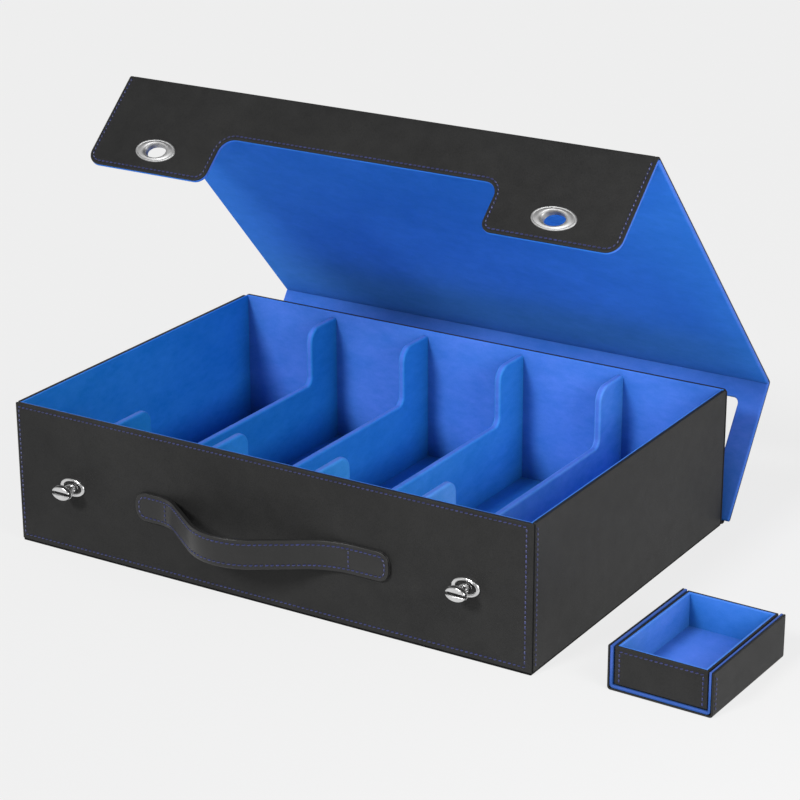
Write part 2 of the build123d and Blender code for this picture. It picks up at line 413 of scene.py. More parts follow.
def piece(name, mesh, place, body, look, nodes=(), sharp=35, shape=None, lie=DEFAULT_PAINTED_LIGHT):
    """Makes a piece in its place, gives it its look and lets it ride on a body, or leaves it fixed where it
    is placed.
    """
    bm = mesh if isinstance(mesh, bmesh.types.BMesh) else to_bmesh(mesh)
    bmesh.ops.dissolve_degenerate(bm, dist=HAIR, edges=bm.edges[:])
    for v in bm.verts:
        v.co = place(shape(v.co) if shape else v.co) * MM
    made = mesh_object(name, bm)
    made.data.shade_smooth()
    made.data.set_sharp_from_angle(angle=math.radians(sharp))
    paint_face_light(made.data, *lie)
    material, slot = look
    made.data.materials.append(material)
    if isinstance(body, str):
        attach(made, body)
    else:
        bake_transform(made)
    if nodes:
        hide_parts(*nodes)


def stitch(middle, way, step):
    """One stitch, which bulges between the holes that its ends dip into."""
    across = left_of(way)
    turns = [2 * math.pi * k / 6 for k in range(6)]
    rings = []
    for t, thickness, lift in STITCH_RINGS:
        centre = middle + way * t * step * STITCH_SHARE
        radius = THREAD_RADIUS * thickness
        rings.append([(centre.x + across.x * math.cos(turn) * radius,
                       centre.y + across.y * math.cos(turn) * radius,
                       lift + math.sin(turn) * radius) for turn in turns])
    return shells(rings)


def stitches(points, closed=False, skip=()):
    """Thread along a line of points. Each stitch leans a little, and skipped stretches have none."""
    line = [Vector(p) for p in points]
    if closed:
        line.append(line[0])
    total = sum((b - a).length for a, b in zip(line, line[1:]))
    count = max(1, round(total / STITCH_PITCH))
    step = total / count
    made, walked, k = [], 0.0, 0
    for number in range(count):
        where = step * (number + 0.5)
        while k < len(line) - 2 and walked + (line[k + 1] - line[k]).length < where:
            walked += (line[k + 1] - line[k]).length
            k += 1
        way = (line[k + 1] - line[k]).normalized()
        middle = line[k] + way * (where - walked)
        if not any(low < middle.y < high for low, high in skip):
            lean = 0.16 + 0.08 * noise.noise(Vector((number * 0.7, total, 0)))
            made.append(stitch(middle, (way + left_of(way) * lean).normalized(), step))
    return merged(*made)


# Materials
def new_material(name):
    """Material, its empty tree and the coordinates that its patterns follow."""
    material = bpy.data.materials.new(name)
    material.use_nodes = True
    tree = material.node_tree
    tree.nodes.clear()
    return material, tree, node(tree, "TexCoord").outputs["Object"]


def node(tree, kind, inputs=None, **props):
    made = tree.nodes.new("ShaderNode" + kind)
    for key, value in props.items():
        setattr(made, key, value)
    for key, value in (inputs or {}).items():
        if isinstance(value, bpy.types.NodeSocket):
            tree.links.new(value, made.inputs[key])
        else:
            made.inputs[key].default_value = value
    return made


def show(tree, shader, output="OutputMaterial"):
    tree.links.new(shader.outputs[0], node(tree, output).inputs["Surface"])


def ramp(tree, value, stops):
    """Colour ramp through (place, colour). A colour that is one number is a grey."""
    made = node(tree, "ValToRGB", {"Fac": value})
    elements = made.color_ramp.elements
    while len(elements) < len(stops):
        elements.new(0.5)
    for element, (place, colour) in zip(elements, stops):
        element.position = place
        element.color = (*colour, 1) if isinstance(colour, tuple) else (colour, colour, colour, 1)
    return made.outputs["Color"]


def noise_of(tree, coords, scale, detail=3.0, rough=0.55, output="Fac"):
    inputs = {"Vector": coords, "Scale": scale, "Detail": detail, "Roughness": rough}
    return node(tree, "TexNoise", inputs).outputs[output]


def weighted(tree, parts, total=0.0):
    """Adds the parts, each a value and its weight, to a total."""
    for value, weight in parts:
        total = node(tree, "Math", {0: value, 1: weight, 2: total}, operation="MULTIPLY_ADD").outputs[0]
    return total


def spread(tree, value, low, high):
    """A noise's usual range, stretched over low to high."""
    inputs = {"Value": value, "From Min": 0.3, "From Max": 0.7, "To Min": low, "To Max": high}
    return node(tree, "MapRange", inputs).outputs[0]


def times(tree, a, b):
    return node(tree, "VectorMath", {0: a, 1: b}, operation="MULTIPLY").outputs[0]


def bump(tree, height, strength, distance, over=None):
    """Relief on a surface, or over another relief. The distance is in metres."""
    inputs = {"Height": height, "Strength": strength, "Distance": distance}
    if over is not None:
        inputs["Normal"] = over
    return node(tree, "Bump", inputs).outputs[0]


def leather(name, dark, light, rough=(0.4, 0.48), gloss=0.1, strength=0.4):
    """Leatherette: small pebbles with darker pits between them, in a slightly uneven skin."""
    material, tree, coords = new_material(name)
    warp = noise_of(tree, coords, scale=500, detail=2, output="Color")
    push = node(tree, "VectorMath", {0: warp, "Scale": 0.0006}, operation="SCALE").outputs[0]
    moved = node(tree, "VectorMath", {0: coords, 1: push}).outputs[0]
    cells = node(tree, "TexVoronoi", {"Vector": moved, "Scale": 1350.0}, feature="DISTANCE_TO_EDGE")
    pebble = node(tree, "MapRange", {"Value": cells.outputs["Distance"], "From Max": 0.28},
                  interpolation_type="SMOOTHSTEP").outputs[0]
    fine = noise_of(tree, coords, scale=5200, detail=2)
    middle = noise_of(tree, coords, scale=90, detail=4)
    broad = noise_of(tree, coords, scale=14, detail=3)
    grain = bump(tree, weighted(tree, [(fine, 0.22)], pebble), strength, distance=0.00009)
    relief = bump(tree, middle, strength=0.12, distance=0.0006, over=grain)
    colour = ramp(tree, weighted(tree, [(broad, 0.65), (middle, 0.35)]), [(0.32, dark), (0.68, light)])
    pits = node(tree, "MapRange", {"Value": pebble, "To Min": 0.72, "To Max": 1.0}).outputs[0]
    colour = node(tree, "VectorMath", {0: colour, "Scale": pits}, operation="SCALE").outputs[0]
    show(tree, node(tree, "BsdfPrincipled", {
        "Base Color": colour, "Roughness": spread(tree, middle, *rough), "Normal": relief,
        "Specular IOR Level": gloss}))
    return material


def suede(name):
    """Brushed microfibre: patches of uneven tone, a soft sheen, and painted light: a lit and a shaded
    colour mixed per face, painted tints, and painted shade in corners.
    """
    material, tree, coords = new_material(name)
    stretched = node(tree, "Mapping", {"Vector": coords, "Scale": (1.0, 1.0, 2.2),
                                       "Rotation": (0.4, 0.3, 0.5)}).outputs[0]
    patches = noise_of(tree, stretched, scale=26, detail=4, rough=0.62)
    strokes = noise_of(tree, stretched, scale=110, detail=3, rough=0.6)
    fibre = noise_of(tree, coords, scale=2600, detail=3, rough=0.7)
    flock = noise_of(tree, coords, scale=700, detail=2, rough=0.6)
    tone = weighted(tree, [(strokes, 0.35), (patches, 0.5), (flock, 0.15)])
    # Painted light: side is the shaded colour and front the lit colour, mixed by each face's share of lit
    # colour
    side = ramp(tree, tone, [(0.36, (0.005, 0.190, 0.59)), (0.64, (0.017, 0.235, 0.68))])
    front = ramp(tree, tone, [(0.36, (0.036, 0.170, 0.60)), (0.64, (0.068, 0.205, 0.69))])
    lit_mix = node(tree, "Attribute", attribute_name="lit_mix").outputs["Fac"]
    base = node(tree, "Mix", {"Factor": lit_mix, 6: side, 7: front}, data_type="RGBA").outputs[2]
    # Painted light and shade: each face's tint
    painted_tint = node(tree, "Attribute", attribute_name="painted_tint").outputs["Vector"]
    # Painted shade: corners and recesses darken towards deep teal by ambient occlusion
    corner = node(tree, "AmbientOcclusion", {"Distance": 0.035}, samples=8).outputs["AO"]
    depth = ramp(tree, corner, [(0.2, (0.1, 0.42, 0.42)), (0.5, (0.42, 0.7, 0.69)), (0.92, WHITE)])
    hairs = weighted(tree, [(flock, 0.6)], fibre)
    show(tree, node(tree, "BsdfPrincipled", {
        "Base Color": times(tree, times(tree, base, painted_tint), depth), "Roughness": 0.95,
        "Normal": bump(tree, hairs, strength=0.45, distance=0.00018), "Specular IOR Level": 0.2,
        "Sheen Weight": 0.12, "Sheen Roughness": 0.5, "Sheen Tint": (0.4, 0.6, 1.0, 1.0)}))
    return material


def metal(name, shades, rough):
    """Plated metal with faint smears and dents."""
    material, tree, coords = new_material(name)
    smear = noise_of(tree, coords, scale=260, detail=4, rough=0.6)
    dents = noise_of(tree, coords, scale=900, detail=2)
    show(tree, node(tree, "BsdfPrincipled", {
        "Base Color": ramp(tree, smear, [(0.3, shades[0]), (0.7, shades[1])]), "Metallic": 1.0,
        "Roughness": spread(tree, smear, *rough),
        "Normal": bump(tree, dents, strength=0.06, distance=0.0002)}))
    return material


def threads(name):
    """Dark blue thread with a slight shine."""
    material, tree, coords = new_material(name)
    strands = noise_of(tree, coords, scale=3000, detail=2, rough=0.6)
    uneven = noise_of(tree, coords, scale=350, detail=2)
    colour = ramp(tree, uneven, [(0.3, (0.009, 0.012, 0.060)), (0.7, (0.028, 0.036, 0.150))])
    show(tree, node(tree, "BsdfPrincipled", {
        "Base Color": colour, "Roughness": 0.3, "Specular IOR Level": 0.7,
        "Normal": bump(tree, strands, strength=0.6, distance=0.0001)}))
    return material


def cardboard(name):
    """Grey board with pulp and specks."""
    material, tree, coords = new_material(name)
    pulp = noise_of(tree, coords, scale=900, detail=5, rough=0.7)
    specks = noise_of(tree, coords, scale=4200, detail=2)
    tone = weighted(tree, [(specks, 0.4)], pulp)
    colour = ramp(tree, tone, [(0.45, (0.24, 0.23, 0.21)), (0.95, (0.42, 0.41, 0.38))])
    show(tree, node(tree, "BsdfPrincipled", {
        "Base Color": colour, "Roughness": 0.92,
        "Normal": bump(tree, pulp, strength=0.3, distance=0.0001)}))
    return material


# Looks, each a material and the record's slot that it takes its finish from
SKIN = (leather("black_leatherette", (0.021, 0.021, 0.021), (0.031, 0.031, 0.0306)), "black_leather")
# Near-black leather that paints the contact shade under the walls
CONTACT_SHADE = (leather("contact_shade_leather", (0.003, 0.003, 0.003), (0.006, 0.006, 0.006), rough=(0.7, 0.8)),
           "black_leather")
STRAP = (leather("strap_leatherette", (0.012, 0.012, 0.012), (0.018, 0.018, 0.0178), rough=(0.34, 0.42),
                 gloss=0.38, strength=0.3), "strap_leather")
FABRIC = (suede("blue_suede"), "blue_microfibre")
CHROME = (metal("polished_chrome", (0.62, 0.74), (0.16, 0.26)), "chrome_hardware")
SATIN = (metal("satin_steel", (0.40, 0.50), (0.5, 0.6)), "chrome_hardware")
# Near-black metal for painted shade in the locks' recesses and grooves
PAINTED_SHADE_METAL = (metal("painted_shade_metal", (0.03, 0.05), (0.3, 0.4)), "chrome_hardware")
SEAM = (threads("blue_thread"), "black_leather")
STRAP_SEAM = (SEAM[0], "strap_leather")
BOARD = cardboard("grey_board_pulp")


def solid_material(name):
    """Material of a solid from the part's source."""
    if name.endswith("_board"):
        return BOARD
    if name.endswith("_lining"):
        return FABRIC[0]
    return CHROME[0] if name.startswith(("lock_", "eyelet_")) else SKIN[0]


for node_name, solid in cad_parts.items():
    solid.data.materials.clear()
    solid.data.materials.append(solid_material(node_name))


# An open box of boards: the case, and the accessory tray
def wall_lining(half, low, high, wall, turn_in):
    """Fabric on one wall and over its top edge, mitred at both ends."""
    back, fold, roll = wall - 0.65, 0.9, 0.7
    top = high - 0.12
    section = [(back, low), (back, top - fold), (turn_in + 0.04, top - fold), (turn_in + 0.02, top - 0.35),
               (turn_in + 0.13, top - 0.1), (turn_in + 0.38, top)]
    section += [(wall - inset, top + height) for inset, height in reversed(bend(roll))]
    section.append((wall, low))
    return shells([[(sign * (half - depth), z, -depth) for depth, z in section] for sign in (-1, 1)])


def stepped_in(half, edge, step):
    """Moves a sheet's rows that lie behind its rounded ends inwards."""
    def shape(v):
        if v.z < -edge - 0.05 and abs(v.x) > half - 1:
            return Vector((v.x - math.copysign(step, v.x), v.y, v.z))
        return v
    return shape


def foot_ring(half_w, half_d, lift):
    """Near-black ring under the walls that fills the gap below their leather: painted contact shade."""
    rim, inner_w, inner_d = 0.3, half_w - 3, half_d - 3
    loops = [box_loop(-half_w + rim, -half_d + rim, half_w - rim, half_d - 1.0, 1.0),
             hole_loop(-inner_w, -inner_d, inner_w, inner_d, 1)]
    profile = [(0.4, 0), (0.1, 0.1), (0, 0.4), (0, lift + 0.2), (0.5, lift + 0.3)]
    return plate(loops, profile, spacing=None)


def open_box(prefix, body, half_w, half_d, low, high, wall, turn_in, edge, gap, rear_low, under, nodes,
             corners, lie, floor_lie, matrix=Matrix()):
    """Leather round the outside and over the rim, fabric inside, and a dark slit at each corner.

    For the slit, the front and rear sheets step in behind their ends, and the side sheets stay back.
    """
    side_half, lift = half_d - edge - gap, 0.75 * gap
    walls = {
        "front": ((0, -half_d, 0), RIGHT, half_w, half_w, low + lift),
        "rear": ((0, half_d, 0), (-1, 0, 0), half_w, half_w, rear_low),
        "left": ((-half_w, 0, 0), (0, -1, 0), side_half, half_d, low + lift),
        "right": ((half_w, 0, 0), BACK, side_half, half_d, low + lift),
    }

    def add(part, mesh, place, look, **more):
        piece(f"{prefix}_{part}", mesh, place, body, look, nodes.get(part, ()), **more)

    for side, (origin, across, half, full, foot) in walls.items():
        place = flat(origin, across, UP, matrix)
        radii = [SHEET_CORNER, SHEET_CORNER, *corners[side]]
        outline = rounded([(-half, foot), (half, foot), (half, high), (-half, high)], radii)
        depth = turn_in * (0.9 if side == "rear" else 1.0)
        ends, shape = edge * 0.7, None
        if side in ("front", "rear"):
            ends, shape = edge, stepped_in(half_w, edge, turn_in - edge + 0.6)
        sheet = plate([outline], edge_profile(depth, ends, heel=0.3), wave=0.05)
        add(f"{side}_leather", sheet, place, SKIN, shape=shape)
        add(f"{side}_suede", wall_lining(full, low + wall - 0.1, high, wall, depth), place, FABRIC, lie=lie)

    tuck = 0.3
    inside_w, inside_d = half_w - wall + tuck, half_d - wall + tuck
    floor_edge = [(0, -0.7), (0, 0), (1, 0)]
    cloth = plate([box_loop(-inside_w, -inside_d, inside_w, inside_d)], floor_edge, wave=0.08)
    add("floor_suede", cloth, flat((0, 0, low + wall), RIGHT, BACK, matrix), FABRIC, lie=floor_lie)
    # Painted contact shade: a near-black ring under the walls
    add("foot_contact_shade", foot_ring(half_w, half_d, lift), flat((0, 0, low), RIGHT, BACK, matrix), CONTACT_SHADE)
    under_w, (under_front, under_rear) = half_w - turn_in + 0.2, under
    outline = box_loop(-under_w, -under_rear, under_w, -under_front)
    sheet = plate([outline], edge_profile(depth=0.7, radius=0.3, heel=0.15))
    add("underside_leather", sheet, flat((0, 0, low), RIGHT, (0, -1, 0), matrix), SKIN)


# Case
STRIP_Y = 117.0         # where the hinge strip leaves the underside
CASE_NODES = {f"{side}_leather": (f"{side}_skin", f"{side}_board") for side in SIDES}
CASE_NODES |= {f"{side}_suede": (f"{side}_lining",) for side in SIDES}
CASE_NODES |= {"floor_suede": ("base_lining",), "underside_leather": ("base_skin",)}
# Radii of the upper right and upper left corners of each wall's leather, seen from outside
CASE_CORNERS = {"front": (0.8, 0.8), "rear": (3.0, 3.0), "left": (0.8, 3.0), "right": (3.0, 0.8)}
open_box("case", "case", HALF_W, HALF_D, low=0.0, high=HEIGHT, wall=WALL, turn_in=2.2, edge=0.7, gap=1.9,
         rear_low=0.75, under=(1.0 - HALF_D, STRIP_Y), nodes=CASE_NODES, corners=CASE_CORNERS,
         # Painted light: tints lighten the lining's sideways and forward faces, and a painted tint makes
         # the floor's shade greener
         lie=fabric_lie(side=(1.35, 1.06, 1.06), ahead=(1.15, 1.0, 1.01)),
         floor_lie=fabric_lie(ahead=(0.6, 1.25, 1.0)))


def case_stitching():
    """A line all round the front, and one beside the front edge of each side wall."""
    left, right, foot, head, corner = 2.7, 4.7, 4.8, 2.8, 0.5
    seam = box_loop(left - HALF_W, foot, HALF_W - right, HEIGHT - head, corner)()
    place = flat((0, -HALF_D, 0), RIGHT, UP)
    piece("case_front_stitching", stitches(seam, closed=True), place, "case", SEAM)
    for side, sign in (("left", -1), ("right", 1)):
        beside, foot, head = -sign * (HALF_D - 5.2), 4.0, 3.0
        line = [(beside, foot), (beside, HEIGHT - head)]
        place = flat((sign * HALF_W, 0, 0), (0, sign, 0), UP)
        piece(f"case_{side}_stitching", stitches(line), place, "case", SEAM)


case_stitching()

# Dividers, sunk into the fabric of the floor and the walls, low in the middle and tall at the ends
DIVIDER_LOW, DIVIDER_SINK, DIVIDER_ROUND = 54, 1.8, 1.7
FRONT_POST, REAR_POST = (-93.7, 98.6), (98.5, 96)      # where each tall end stops, and its height
DIVIDER_CORNERS = [0, 0, 0.5, 11, 6, 6, 9.5, 0.5]      # from the lower front corner round
# Painted light on each divider's sides, from the left to the right: share of the lit colour and a painted
# tint, brighter towards the right
DIVIDER_PAINTED_LIGHT = ((0.0, (0.95, 1.0, 0.92)), (0.15, (1.25, 1.2, 1.08)), (0.35, (1.65, 1.5, 1.2)),
                (0.85, (2.2, 1.75, 1.33)))


def dividers():
    """Upright plates between the rows, each with painted light a little brighter than the one to its left.
    """
    end, foot = HALF_D - DIVIDER_SINK, WALL - DIVIDER_SINK
    (front_y, front_top), (rear_y, rear_top) = FRONT_POST, REAR_POST
    outline = [(-end, foot), (end, foot), (end, rear_top), (rear_y, rear_top), (rear_y, DIVIDER_LOW),
               (front_y, DIVIDER_LOW), (front_y, front_top), (-end, front_top)]
    near = bend(DIVIDER_ROUND) + [(DIVIDER_ROUND + 0.5, 0)]
    far = [(inset, -DIVIDER - height) for inset, height in reversed(near)]
    pitch = (2 * (HALF_W - WALL) + DIVIDER) / ROWS
    for number, (lit_mix, painted_tint) in enumerate(DIVIDER_PAINTED_LIGHT, 1):
        sheet = plate([rounded(outline, DIVIDER_CORNERS, steps=10)], far + near, wave=0.12)
        place = flat((-HALF_W + WALL + number * pitch, 0, 0), BACK, UP)
        piece(f"divider_{number}_suede", sheet, place, "case", FABRIC, (f"divider_{number}_lining",),
              lie=fabric_lie((lit_mix, 1.0, 1.0), painted_tint, (1.2, 0.9, 0.94)))


dividers()


# Lid: one sheet of leather outside and one of fabric inside, split at the folds
def opened(y, z, degrees):
    """Swing about a line across the case."""
    return (Matrix.Translation((0, y, z)) @ Matrix.Rotation(math.radians(-degrees), 4, "X")
            @ Matrix.Translation((0, -y, -z)))


def yz(matrix, y, z):
    p = matrix @ Vector((0, y, z))
    return p.y, p.z


TURN_REAR = opened(HINGE_Y, HINGE_Z, REAR_OPEN)
TURN_TOP = TURN_REAR @ opened(HINGE_Y, LID_TOP, TOP_OPEN)
FOLD_RADIUS, FOLD_REACH = 2.3, 5.0
HINGE_BEND = 1.6
HOLE_A, HOLE_B = 8.75, 6.05
LINING_FOOT = 0.9       # how far over the hinge the lining starts


def outer_path():
    """Outside of the lid, from under the case to the flap's tip."""
    hinge_foot = (HINGE_Y - HINGE_Z * math.tan(math.radians(REAR_OPEN)), 0.0)
    points = [(STRIP_Y, 0.0), hinge_foot, yz(TURN_REAR, HINGE_Y, LID_TOP),
              yz(TURN_TOP, FLAP_OUTER, LID_TOP), yz(TURN_TOP, FLAP_OUTER, LID_TOP - FLAP_LENGTH)]
    return Path(points, [HINGE_BEND, FOLD_RADIUS, FOLD_RADIUS], side=1)


def inner_path():
    """Inside of the lid, from over the hinge to the flap's tip, creased at the rear fold."""
    y, z, flap_y = HINGE_Y - WALL, LID_TOP - WALL, FLAP_OUTER + WALL
    rear, top = yz(TURN_REAR, y, z), yz(TURN_TOP, y, z)
    crease = ((rear[0] + top[0]) / 2 + 0.75, (rear[1] + top[1]) / 2 + 0.3)
    points = [yz(TURN_REAR, y, HINGE_Z + LINING_FOOT), rear, crease, top, yz(TURN_TOP, flap_y, z),
              yz(TURN_TOP, flap_y, LID_TOP - FLAP_LENGTH)]
    return Path(points, [0.3, 0.1, 0.3, 0.6], side=-1)


def lid_outline(path, fold, foot, shift=0.0):
    """The lid laid flat. Shift is what the flap's inside falls short of its outside."""
    tip, roof = path.after(fold, FLAP_LENGTH - shift), path.after(fold, NOTCH_ROOF - shift)
    points = [(-LID_HALF, foot), (LID_HALF, foot), (LID_HALF, tip), (NOTCH_HALF, tip), (NOTCH_HALF, roof),
              (-NOTCH_HALF, roof), (-NOTCH_HALF, tip), (-LID_HALF, tip)]
    radii = [0, 0, FLAP_CORNER, NOTCH_LIP, NOTCH_CORNER, NOTCH_CORNER, NOTCH_LIP, FLAP_CORNER]
    return rounded(points, radii, steps=9)


def lid_sheet(outline, sill, head, profile, wave):
    """The whole sheet, with its window from sill to head."""
    side = LID_HALF - WINDOW_SIDE
    return to_bmesh(plate([outline, hole_loop(-side, sill, side, head, WINDOW_CORNER)], profile, wave=wave))


def spot(place, s):
    """Place along a sheet's middle line, in metres."""
    p = place((0, s, 0)) * MM
    return 0, p.y, p.z


def fold_body(first, second, place, low, high, trim):
    """The two bodies beside a fold and two points on it, from low to high less the trim at each end."""
    return first, second, spot(place, low + trim), spot(place, high - trim)


def bored(sheet, drop):
    """Cuts the eyelets' holes out of a flap sheet with oval plugs."""
    blank = mesh_object("flap_blank", sheet)
    plugs = []
    for _, x in LOCKS:
        rings = oval_rows([(HOLE_A, HOLE_B, -4.0), (HOLE_A, HOLE_B, 3.0)], x, drop, steps=48)
        plugs.append(mesh_object("eyelet_plug", to_bmesh(shells(rings))))
        modifier = blank.modifiers.new("hole", "BOOLEAN")
        modifier.object, modifier.operation, modifier.solver = plugs[-1], "DIFFERENCE", "EXACT"
    bpy.context.view_layer.update()
    evaluated = blank.evaluated_get(bpy.context.evaluated_depsgraph_get())
    result = bmesh.new()
    result.from_mesh(evaluated.to_mesh())
    for helper in (blank, *plugs):
        bpy.data.objects.remove(helper)
    return result


def lid_layer(kind, look, path, sheet, foot, folds, bends, trim, drop, nodes, lie=DEFAULT_PAINTED_LIGHT):
    """Splits a sheet at its folds. Each panel rides on its body, and each fold stays where it is placed."""
    place = along(path)
    rear, front = folds
    rear_bends, front_bends = bends
    rear_body = fold_body("rear_panel", "top_panel", place, *rear, trim)
    front_body = fold_body("top_panel", "flap", place, *front, trim)
    for name, part, body in (
            ("rear_panel", part_of(sheet, foot, rear[0]), "rear_panel"),
            ("rear_fold", part_of(sheet, *rear, rear_bends), rear_body),
            ("top_panel", part_of(sheet, rear[1], front[0]), "top_panel"),
            ("front_fold", part_of(sheet, *front, front_bends), front_body),
            ("flap", bored(part_of(sheet, front[1], None), drop), "flap")):
        piece(f"{name}_{kind}", part, place, body, look, nodes.get(name, ()), lie=lie)


outer, inner = outer_path(), inner_path()
EYELET_DROP = LID_TOP - LOCK_Z
LID_FOOT = outer.after(0, 2.4)
REAR_FOLD, FRONT_FOLD = outer.around(1, 1, FOLD_REACH), outer.around(2, 2, FOLD_REACH)
# Painted light on the lid's lining: faces that look down take mostly the shaded colour, with painted tints
LID_PAINTED_LIGHT = fabric_lie((1.0, 0.9, 0.25), (1.15, 0.9, 1.0), (1.15, 0.84, 0.96), (1.0, 1.08, 1.33))


def lid_leather():
    outline = lid_outline(outer, 2, outer.after(0, 0.5))
    profile = edge_profile(depth=1.1, radius=0.6, groove=STITCH_INSET)
    sill, head = outer.after(0, WINDOW_SILL), outer.before(1, WINDOW_HEAD)
    sheet = lid_sheet(outline, sill, head, profile, wave=0.05)
    nodes = {name: (f"{name}_skin", f"{name}_board") for name in PANELS}
    lid_layer("leather", SKIN, outer, sheet, LID_FOOT, folds=(REAR_FOLD, FRONT_FOLD),
              bends=(outer.bend_steps(1, 7), outer.bend_steps(2, 8)), trim=0.6,
              drop=outer.after(2, EYELET_DROP), nodes=nodes)


def lid_lining():
    outline = lid_outline(inner, 3, 0.0, shift=WALL)
    profile = [(0.45, -2.4), (0.1, -2.3), (0, -2.0), *bend(1.2), (1.7, 0)]
    sill, head = WINDOW_SILL - LINING_FOOT, inner.before(0, WINDOW_HEAD - WALL)
    sheet = lid_sheet(outline, sill, head, profile, wave=0.08)
    crease = [s for number in range(3) for s in inner.bend_steps(number, 2)]
    nodes = {name: (f"{name}_lining",) for name in PANELS}
    lid_layer("suede", FABRIC, inner, sheet, None,
              folds=(inner.around(0, 2, FOLD_REACH), inner.around(3, 3, FOLD_REACH)),
              bends=(crease, inner.bend_steps(3, 4)), trim=1.0,
              drop=inner.after(3, EYELET_DROP - WALL), nodes=nodes, lie=LID_PAINTED_LIGHT)


def hinge_strip():
    """Strip of leather that leaves the case's floor and turns up as the lid's hinge."""
    narrow, wide = HALF_W - 0.9, HALF_W - 0.1
    step, top = HALF_D + 0.6 - STRIP_Y, LID_FOOT + 6
    points = [(-narrow, 0.0), (narrow, 0.0), (narrow, step), (wide, step + 1), (wide, top), (-wide, top),
              (-wide, step + 1), (-narrow, step)]
    outline = rounded(points, [0.5, 0.5, 0.3, 0.3, 0, 0, 0.3, 0.3])
    sheet = to_bmesh(plate([outline], edge_profile(depth=0.7, radius=0.3, heel=0.15)))
    place = along(outer)
    body = fold_body("case", "rear_panel", place, *outer.around(0, 0, HINGE_BEND), trim=0.0)
    piece("rear_hinge_leather", part_of(sheet, None, LID_FOOT, outer.bend_steps(0, 6)), place, body, SKIN,
          ("rear_hinge_strip",))


def lid_stitching():
    """A line round the lid's outside, split between its panels and left out at the folds."""
    seam = lid_outline(outer, 2, outer.after(0, 3.0))(STITCH_INSET)
    into_fold, beyond = 1.2, 10
    folds = [(low + into_fold, high - into_fold) for low, high in (REAR_FOLD, FRONT_FOLD)]
    breaks = [0, sum(REAR_FOLD) / 2, sum(FRONT_FOLD) / 2, outer.length + beyond]
    for name, low, high in zip(PANELS, breaks, breaks[1:]):
        gaps = folds + [(-beyond, low), (high, breaks[-1] + beyond)]
        piece(f"{name}_stitching", stitches(seam, closed=True, skip=gaps), along(outer), name, SEAM)


lid_leather()
lid_lining()
hinge_strip()
lid_stitching()

# Hardware, each a stack of ovals as (half length, half width, height)
EYELET = [(HOLE_A, HOLE_B, -0.2), (15.5, 8.5, 0.0), (15.8, 8.8, 0.15), (15.75, 8.75, 0.45),
          (15.35, 8.4, 0.75), (14.9, 8.1, 0.85), (14.6, 7.9, 0.82), (14.4, 7.75, 0.72), (14.1, 7.55, 0.7),
          (13.0, 7.2, 0.95), (11.8, 6.8, 1.15), (10.8, 6.5, 1.22), (9.9, 6.2, 1.15), (9.1, 5.85, 0.9),
          (8.4, 5.45, 0.4), (8.0, 5.2, -0.4), (7.75, 5.05, -1.4), (7.7, 5.0, -3.0), (7.9, 5.2, -3.75),
          (8.7, 5.98, -3.72), (8.7, 6.0, -3.0)]
WASHER = [(HOLE_A, HOLE_B, -3.45), (8.85, 6.15, -3.65), (9.4, 6.45, -3.8), (11.8, 7.2, -3.78),
          (12.6, 7.45, -3.65), (12.8, 7.6, -3.5), (12.7, 7.5, -3.44)]
BASE = [(10.1, 6.5, 0.0), (10.1, 6.5, 0.6), (10.0, 6.4, 1.0), (9.7, 6.1, 1.35), (9.25, 5.7, 1.55),
        (8.75, 5.3, 1.6), (8.15, 4.85, 1.5), (7.7, 4.5, 1.25), (7.4, 4.25, 0.85), (7.3, 4.15, 0.12),
        (4.3, 3.2, 0.12), (4.0, 3.0, 0.3), (3.9, 2.9, 0.8), (3.9, 2.9, 7.9), (4.5, 3.3, 8.2),
        (5.4, 3.8, 8.5), (5.6, 4.0, 8.75), (5.6, 4.0, 9.4), (5.45, 3.85, 9.78), (2.1, 2.1, 9.8),
        (2.0, 2.0, 9.6), (2.0, 2.0, 0.0)]
# Dark disc in each lock base's recess: painted shade
SHADE_WELL = [(7.25, 4.1, 0.15), (7.1, 3.95, 0.3), (5.0, 3.6, 0.3), (4.2, 3.1, 0.34), (4.1, 3.0, 0.1)]
HEAD_BACK = [(1.9, 1.9, 1.0), (1.9, 1.9, 10.1), (5.9, 3.8, 10.12), (7.0, 4.5, 10.25), (7.45, 4.95, 10.5),
             (7.5, 5.0, 10.9), (7.5, 5.0, 11.0), (7.3, 4.8, 11.2), (4.0, 2.6, 11.25)]
# Floor of a knob's groove, in near-black metal: painted shade
SHADED_GROOVE_FLOOR = [(7.2, 4.5, 11.2), (7.1, 4.4, 11.32), (3.0, 2.0, 11.34)]
# Half of a knob's face: half length and width, half its groove, its end corners, and (inset, height)
LOBE_A, LOBE_B, LOBE_FROM, LOBE_CORNER = 7.35, 4.85, 0.8, 0.35
LOBE_EDGE = [(0, 10.9), (0, 12.9), (0.1, 13.4), (0.35, 13.8), (0.8, 14.02), (1.2, 14.06)]


def lobe(sign):
    """Half of a knob's face, on one side of its groove."""
    arc = [(LOBE_A * math.cos(t), LOBE_B * math.sin(t)) for t in steps_between(0, math.pi, 22)]
    arc = [p for p in arc if p[1] > LOBE_FROM]
    points = [(arc[0][0] + 0.12, LOBE_FROM), *arc, (arc[-1][0] - 0.12, LOBE_FROM)]
    radii = [LOBE_CORNER] + [0] * len(arc) + [LOBE_CORNER]
    outline = rounded([(sign * x, sign * y) for x, y in points], radii, steps=4)
    return plate([outline], LOBE_EDGE, spacing=None)


